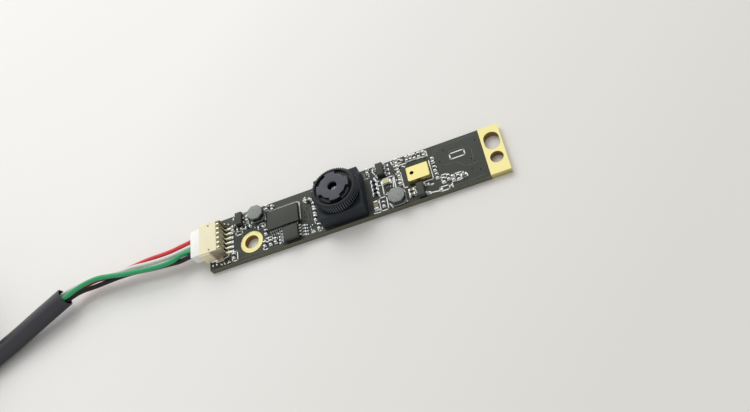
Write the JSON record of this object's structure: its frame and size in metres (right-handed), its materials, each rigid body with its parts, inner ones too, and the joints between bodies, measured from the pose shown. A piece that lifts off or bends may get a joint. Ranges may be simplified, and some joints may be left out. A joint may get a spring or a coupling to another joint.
{
  "type": "camera module",
  "caption": "Narrow strip circuit board with a square lens holder, a knurled focus lens, a microphone, chips, a wire header, a gold-plated screw end and a tied cable.",
  "frame": {"origin": "centre of the board's flat back face", "axes": "+X along the board towards its gold-plated end, +Y to its back edge, +Z out of its component side along the lens axis"},
  "size_m": [0.1785, 0.0278, 0.0174],
  "materials": {
    "mask": "matt black mask over glass laminate",
    "gold": "bright gold plate",
    "tin": "bright tinned",
    "resistor_black": "satin",
    "capacitor_tan": "matt",
    "chip_black": "fine matt mould",
    "ferrite": "ground matt",
    "copper": "enamelled wire",
    "resin": "satin",
    "led_white": "satin",
    "led_window": "clear yellowish",
    "mic_gold": "satin gold plate",
    "laminate": "matt",
    "silicon": "polished",
    "clear_glass": "polished",
    "filter_glass": "coated",
    "holder_black": "fine matt mould",
    "lens_black": "satin",
    "spacer_black": "matt",
    "header_beige": "matt",
    "contact_tin": "tinned",
    "tab_metal": "dull tinned",
    "plug_white": "satin",
    "wire_red": "satin",
    "wire_white": "satin",
    "wire_green": "satin",
    "wire_black": "satin",
    "sleeve_black": "satin",
    "cable_black": "satin",
    "tie_black": "woven",
    "shell_steel": "nickel plated",
    "tongue_white": "satin",
    "grip_black": "satin"
  },
  "bodies": {
    "board": {"circuit_board": "mask", "end_plating": "gold", "mount_ring": "gold", "solder_pads": "tin", "chip_resistors": "resistor_black", "chip_capacitors": "capacitor_tan", "end_caps": "tin", "bridge_chip": "chip_black", "bridge_chip_pins": "tin", "flash_chip": "chip_black", "flash_chip_pins": "tin", "left_regulator": "chip_black", "left_regulator_pins": "tin", "right_regulator": "chip_black", "right_regulator_pins": "tin", "audio_transistor": "chip_black", "audio_transistor_pins": "tin", "left_coil_core": "ferrite", "left_coil_winding": "copper", "left_coil_resin": "resin", "right_coil_core": "ferrite", "right_coil_winding": "copper", "right_coil_resin": "resin", "status_led": "led_white", "status_led_window": "led_window", "diode_body": "chip_black", "mic_can": "mic_gold", "mic_base": "laminate", "mic_die": "silicon", "image_sensor": "chip_black", "sensor_glass": "clear_glass", "ir_filter": "filter_glass", "lens_holder": "holder_black", "header_housing": "header_beige", "header_contacts": "contact_tin", "header_tabs": "tab_metal", "plug_housing": "plug_white", "plug_contacts": "contact_tin", "red_wire": "wire_red", "white_wire": "wire_white", "green_wire": "wire_green", "black_wire": "wire_black", "cable_sleeve": "sleeve_black", "cable_run": "cable_black", "cable_hank": "cable_black", "cable_tail": "cable_black", "hank_tie": "tie_black", "usb_shell": "shell_steel", "usb_tongue": "tongue_white", "usb_contacts": "gold", "usb_grip": "grip_black"},
    "lens_glass": {"front_lens": "clear_glass", "lens_spacer": "spacer_black", "rear_lens": "clear_glass"},
    "focus_barrel": {"lens_barrel": "lens_black", "lens_front_disc": "lens_black"}
  },
  "joints": [
    {"name": "focus_advance", "type": "slide", "parent": "board", "child": "lens_glass", "axis": [0, 0, 1], "range_m": [-0.000175, 0.00035]},
    {"name": "focus_turn", "type": "hinge", "parent": "lens_glass", "child": "focus_barrel", "pos_m": [-0.00135, -0.00025, 0.005], "axis": [0, 0, 1], "range_deg": [-180, 360]}
  ],
  "couplings": [
    {"joint": "focus_turn", "follows": "focus_advance", "rad_per_m": 17952}
  ]
}
